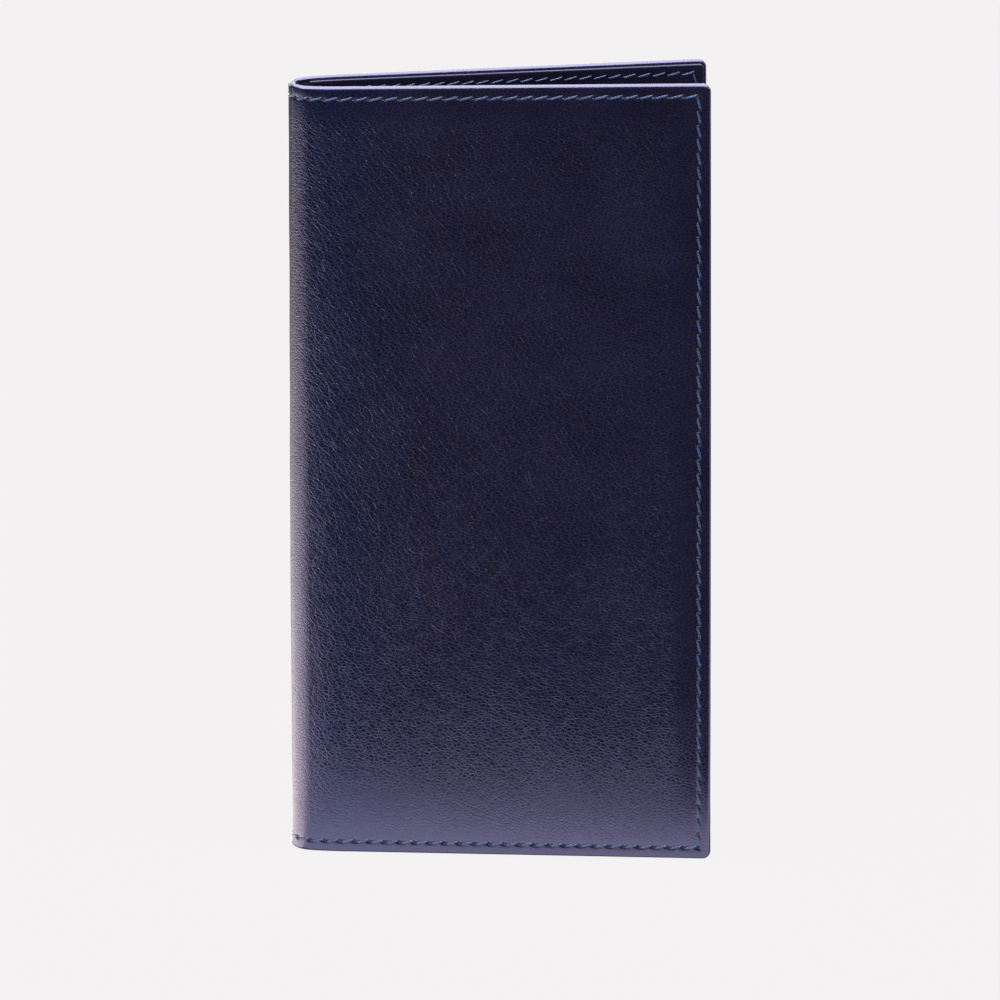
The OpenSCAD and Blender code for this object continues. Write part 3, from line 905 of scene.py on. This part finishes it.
def make_card_side():
    """Backing panel, and a hidden tongue and a facing for each card pocket."""
    body = "back_cover"
    panel = Slab(1, inset_box(PANEL_U, PANEL_INSET),
                 sheet_path(INNER_D + PANEL_GAP, float(BACKING[1][2]), PANEL_EDGE), radius=PANEL_R)
    finish_piece(panel.make(), "card_panel", "inner_leather", body, "card_backing_panel")
    for k in range(1, CARD_COUNT + 1):
        last, lip, base = k == CARD_COUNT, LIPS[k - 1], tile_base(k)
        bottom = TONGUE_FOOT if last else lip - POCKET_DEPTH
        tongue = Slab(1, (TONGUE_SIDES[0], COVER_W - TONGUE_SIDES[1], bottom, lip - TONGUE_BELOW_LIP),
                      sheet_path(0.0, TONGUE_T, TONGUE_T / 2), radius=FACING_R, step=HIDDEN_STEP, base=base)
        finish_piece(tongue.make(), f"card_pocket_tongue_{k}", "pocket_tongue_leather", body,
                     f"card_tongue_{k}")
        foot = PANEL_INSET if last else lip - FACING_H
        facing = Slab(1, (PANEL_U, COVER_W - FACING_INSET, foot, lip),
                      lip_path(FOOT_FACING_T if last else FACING_T), radius=FACING_R,
                      base=lambda u, z, base=base: base(u, z) + TONGUE_T + FACING_GAP)
        finish_piece(facing.make(), f"card_pocket_facing_{k}", "inner_leather", body,
                     f"card_facing_{k}")


def card_surface(z):
    """Depth of the uppermost leather of the card side at height z."""
    for k in range(CARD_COUNT, 0, -1):
        if z < LIPS[k - 1]:
            return float(tile_base(k)(0, z)) + TONGUE_T + (FOOT_FACING_T if k == CARD_COUNT else FACING_T)
    return float(BACKING[1][2])


def run(start, end, count):
    """Evenly spaced (u, z) holes."""
    return [(start[0] + (end[0] - start[0]) * i / count, start[1] + (end[1] - start[1]) * i / count)
            for i in range(count + 1)]


def along_corners(corners, counts):
    """Needle holes along straight runs between corners, with a count of stitches for each."""
    holes = corners[:1]
    for start, end, count in zip(corners, corners[1:], counts):
        holes = holes + run(start, end, count)[1:]
    return holes


FREE_U, TOP_Z, FOOT_Z = COVER_W - SIDE_SEAM_INSET, HEIGHT - SEAM_INSET, SEAM_INSET


def make_card_stitches():
    """Stitches round the back cover, beside its pockets and along the pockets' feet."""
    body = "back_cover"
    depth = lambda u, z: card_surface(z)
    foot, top = (SPINE_SEAM_U, FOOT_Z), (SPINE_SEAM_U, TOP_Z)
    piece = outer_stitches(1)
    holes = along_corners([foot, (FREE_U, FOOT_Z), (FREE_U, TOP_Z), top],
                          (ROW_STITCHES, SIDE_STITCHES, ROW_STITCHES))
    sew_inner(piece, 1, holes, depth)
    finish_piece(piece, "back_perimeter_stitches", "sewing_thread", body, "back_seam_thread")
    piece = Piece()
    sew_inner(piece, 1, run(top, foot, SIDE_STITCHES), depth)
    finish_piece(piece, "card_side_stitches", "sewing_thread", body, "card_panel_side_thread")
    piece = Piece()
    for k in range(1, CARD_COUNT):
        z = LIPS[k - 1] - POCKET_DEPTH + BASE_SEAM_RISE
        base = float(tile_base(k)(0, z)) + TONGUE_T
        holes = run((BASE_SEAM_SIDES[0], z), (COVER_W - BASE_SEAM_SIDES[1], z), BASE_STITCHES)
        sew(piece, 1, holes, lambda u, w, base=base: base, "inner",
            slant=0, rise=-0.02, sink=0.06, radius=0.05, around=6, along=6)
    finish_piece(piece, "pocket_base_stitches", "sewing_thread", body, "pocket_base_threads")


# ---- Inside of the front cover: two long pockets ----


def make_note_side():
    """Two full-length pockets, the second narrower, and the stitches round the front cover."""
    body = "front_cover"
    note_d, receipt_d = float(NOTE[1][2]), float(RECEIPT[1][2])
    for name, start_u, back, front in (
            ("note_pocket", float(NOTE[0][0]), INNER_D + PANEL_GAP, note_d),
            ("receipt_pocket", float(RECEIPT[0][0]), note_d + RECEIPT_GAP, receipt_d)):
        panel = Slab(-1, inset_box(start_u, PANEL_INSET), sheet_path(back, front, PANEL_EDGE),
                     radius=PANEL_R)
        finish_piece(panel.make(), name, "inner_leather", body, f"{name}_panel")
    start, mouth = float(NOTE[0][0]) + NOTE_SEAM_IN, float(RECEIPT[0][0]) + RECEIPT_SEAM_IN
    piece = outer_stitches(-1)
    holes = along_corners([(start, TOP_Z), (mouth, TOP_Z), (FREE_U, TOP_Z), (FREE_U, FOOT_Z),
                           (mouth, FOOT_Z), (start, FOOT_Z)],
                          (MOUTH_STITCHES, NOTE_ROW_STITCHES, SIDE_STITCHES, NOTE_ROW_STITCHES,
                           MOUTH_STITCHES))
    sew_inner(piece, -1, holes, lambda u, z: receipt_d if u > mouth - 0.3 else note_d)
    finish_piece(piece, "front_perimeter_stitches", "sewing_thread", body, "front_seam_thread")


# ---- Camera, floor and light ----


AZIMUTH, ELEVATION, ROLL = (math.radians(a) for a in (-1.433, 21.4, -0.186))
DISTANCE, FOCAL_PX, PICTURE_PX, SENSOR = 10.22, 45227, 1000, 36
AIM_RIGHT, AIM_UP = -0.07, -8.62


def make_camera():
    """The photo's view: from afar with a long lens, a little from above."""
    flat = math.cos(ELEVATION)
    back = Vector((math.sin(AZIMUTH) * flat, -math.cos(AZIMUTH) * flat, math.sin(ELEVATION)))
    right = Vector((math.cos(AZIMUTH), math.sin(AZIMUTH), 0))
    up = back.cross(right)
    aim = Vector((0, 0, HEIGHT / 2 * MM)) + right * AIM_RIGHT * MM + up * AIM_UP * MM
    data = bpy.data.cameras.new("camera")
    data.sensor_width = SENSOR
    data.lens = FOCAL_PX / PICTURE_PX * SENSOR
    data.clip_start, data.clip_end = 0.1, 60
    camera = bpy.data.objects.new("camera", data)
    bpy.context.scene.collection.objects.link(camera)
    turned_right = right * math.cos(ROLL) + up * math.sin(ROLL)
    turned_up = up * math.cos(ROLL) - right * math.sin(ROLL)
    rotation = Matrix((turned_right, turned_up, back)).transposed().to_4x4()
    camera.matrix_world = Matrix.Translation(aim + back * DISTANCE) @ rotation
    bpy.context.scene.camera = camera


# The stage, in metres. The leather mirrors a glowing floor that only reflections see.
PALE = (0.905, 0.888, 0.896)
FLOOR_BASE, FLOOR_LEVEL = (0.05, 0.049, 0.049), 0.97
GLOW_DROP = 0.0015
FRONT_Y, FRONT_LEAN, BACK_Y = -0.0083, 0.0865, 0.0047
SPINE_FOOT = (-0.047, -0.004)
# Fades of the mirrored floor: two distances from the wallet, and the level at each.
NEAR_FADE, NEAR_REST = (0.064, 0.018, 0.0, 2.3), (0.5, 0.08, 0.016, 0.055)
LEFT_FADE, LEFT_TURN = (0.46, 0.02, 0.35, 5.9), (0.14, 1.04)
BEHIND_FADE, BEHIND_REST = (0.066, 0.018, 0.0, 2.2), (0.03, 0.3, 0.016, 0.16)
# Painted contact shadow: the mirrored floor dims within this distance of the wallet, down to this level.
CONTACT_SHADOW_REACH, CONTACT_SHADOW_LEVEL = 0.0015, 0.1
CLEAR, WARM = (1.0, 0.98, 1.0), (1.2, 1.03, 0.84)
BACKDROP_FOOT, BACKDROP_TOP, BACKDROP_COLOR = 4.4, 3.4, (1.0, 0.99, 1.0)
SOFTBOX_LEVEL = 10.0
LAMP_AIM = Vector((0, 0, 0.09))


def quad(name, corners):
    """A four-cornered stage object."""
    mesh = bpy.data.meshes.new(name)
    mesh.from_pydata(corners, [], [(0, 1, 2, 3)])
    obj = bpy.data.objects.new(name, mesh)
    bpy.context.scene.collection.objects.link(obj)
    return obj


def level_quad(name, x0, x1, y0, y1, z):
    """A level stage object at height z."""
    return quad(name, [(x0, y0, z), (x1, y0, z), (x1, y1, z), (x0, y1, z)])


def reflected_only(obj, level_of):
    """Makes a stage object shine, for reflections alone, with the level and colour of each place."""
    material = bpy.data.materials.new(obj.name)
    material.use_nodes = True
    material.node_tree.nodes.clear()
    s = Shader.over(material.node_tree)
    out = s.node("OutputMaterial")
    level, color = level_of(s, s.node("NewGeometry").outputs["Position"])
    color = color if isinstance(color, bpy.types.NodeSocket) else (*color, 1)
    shine = s.node("Emission", {"Color": color, "Strength": level})
    s.put(out.inputs["Surface"], shine.outputs[0])
    obj.data.materials.append(material)
    obj.visible_camera = obj.visible_diffuse = obj.visible_shadow = obj.visible_transmission = False


def floor_glow_level(s, at):
    """The mirrored floor: ahead of the front cover, beside the spine and behind the back cover."""
    x, y = s.parts(at)
    ahead = s.sub(s.sub(FRONT_Y, s.mul(x, FRONT_LEAN)), y)
    near = s.add(s.smooth(ahead, *NEAR_FADE), s.smooth(ahead, *NEAR_REST))
    # Painted contact shadow: dimmer right at the front cover's foot.
    near = s.mul(near, s.smooth(ahead, 0.0, CONTACT_SHADOW_REACH, CONTACT_SHADOW_LEVEL))
    dx, dy = s.sub(x, SPINE_FOOT[0]), s.sub(y, SPINE_FOOT[1])
    away = s.calc("SQRT", s.add(s.mul(dx, dx), s.mul(dy, dy)))
    turned = s.calc("DIVIDE", s.mul(dx, -1.0), away)
    left = s.mul(s.smooth(turned, *LEFT_TURN), s.smooth(away, *LEFT_FADE))
    past = s.sub(y, BACK_Y)
    behind = s.add(s.smooth(past, *BEHIND_FADE), s.smooth(past, *BEHIND_REST))
    # Painted contact shadow: dimmer right behind the back cover's foot.
    behind = s.mul(behind, s.smooth(past, 0.0, CONTACT_SHADOW_REACH))
    color = s.mix(s.calc("GREATER_THAN", left, near), CLEAR, WARM)
    return s.calc("MAXIMUM", s.calc("MAXIMUM", near, left), behind), color


def backdrop_level(s, at):
    """The mirrored wall behind the wallet, dimmer towards its top."""
    height = s.node("SeparateXYZ", {0: at}).outputs[2]
    return s.smooth(height, 0.0, 1.4, BACKDROP_FOOT, BACKDROP_TOP), BACKDROP_COLOR


def make_floor():
    """The pale, even floor of the photo, which reflections do not see."""
    floor = level_quad("floor", -20, 20, -20, 20, 0.0)
    s = Shader("pale_floor", Base_Color=(*FLOOR_BASE, 1), Roughness=0.9, Specular_IOR_Level=0.0,
               Emission_Color=(*PALE, 1), Emission_Strength=FLOOR_LEVEL)
    floor.data.materials.append(s.material)
    floor.visible_glossy = False


def make_world():
    """A pale surround for the camera, and a dim sky for everything else."""
    world = bpy.data.worlds.new("studio")
    bpy.context.scene.world = world
    world.use_nodes = True
    s = Shader.over(world.node_tree)
    height = s.node("SeparateXYZ", {0: s.node("TexCoord").outputs["Generated"]}).outputs[2]
    inputs = world.node_tree.nodes["Background"].inputs
    inputs["Color"].default_value = (*PALE, 1)
    seen = s.node("LightPath").outputs["Is Camera Ray"]
    s.put(inputs["Strength"], s.calc("MAXIMUM", seen, s.smooth(height, -0.03, 0.3, 0.03, 0.22)))


def lamp(name, at, size, watts):
    """A round lamp turned to the wallet's middle."""
    data = bpy.data.lights.new(name, "AREA")
    data.shape, data.size, data.energy = "DISK", size, watts
    obj = bpy.data.objects.new(name, data)
    obj.location = at
    obj.rotation_euler = (LAMP_AIM - Vector(at)).to_track_quat("-Z", "Y").to_euler()
    bpy.context.scene.collection.objects.link(obj)


def make_stage():
    """Floor, what the leather mirrors, surround and lamps."""
    make_floor()
    reflected_only(level_quad("floor_glow", -1.5, 1.5, -1.5, 1.5, -GLOW_DROP), floor_glow_level)
    wall = [(-3, 1.5, 0), (3, 1.5, 0), (3, 1.5, 2.4), (-3, 1.5, 2.4)]
    reflected_only(quad("backdrop", wall), backdrop_level)
    reflected_only(level_quad("softbox", -1.5, 1.5, -1.3, 1.5, 1.8),
                   lambda s, at: (SOFTBOX_LEVEL, (1.0, 1.0, 1.0)))
    make_world()
    lamp("key", (-0.5, -0.7, 1.3), size=0.9, watts=5.5)
    lamp("fill", (0.9, -0.4, 0.9), size=0.7, watts=1.8)
    bpy.context.scene.view_settings.view_transform = "Standard"


make_camera()
make_cover(1)
make_cover(-1)
make_spine()
make_card_side()
make_card_stitches()
make_note_side()
make_stage()

bpy.context.view_layer.update()
